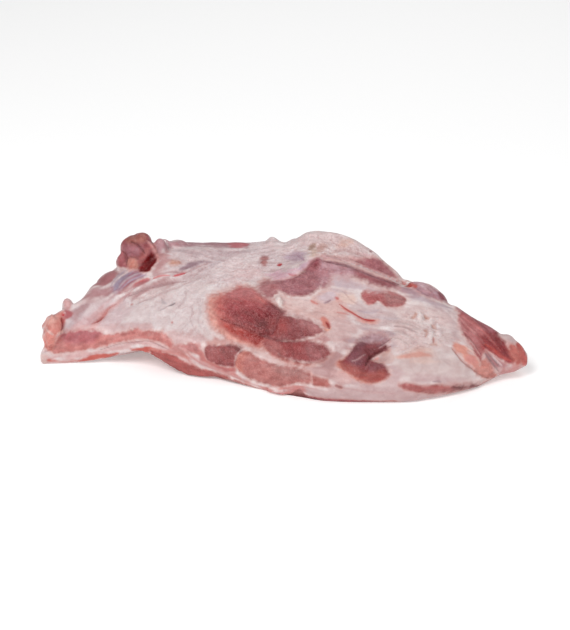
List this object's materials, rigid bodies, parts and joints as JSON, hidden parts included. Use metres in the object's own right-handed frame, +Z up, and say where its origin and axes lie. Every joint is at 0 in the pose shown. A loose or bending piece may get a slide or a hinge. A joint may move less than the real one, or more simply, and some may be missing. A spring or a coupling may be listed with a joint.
{
  "type": "pork jowl",
  "caption": "Raw boneless pork jowl without rind: a leaf-shaped slab of fat and lean with a gland on its rim, a thin arched flap and a pointed tip.",
  "frame": {"origin": "on the table, under the middle of the piece's box", "axes": "+X along the piece from the flap to the pointed tip, -Y towards the trimmed front edge, +Z up out of the meat side"},
  "size_m": [0.336, 0.1708, 0.072],
  "materials": {
    "raw_pork": "moist raw fat with lean patches"
  },
  "bodies": {
    "root": {"jowl": "raw_pork"}
  },
  "joints": []
}
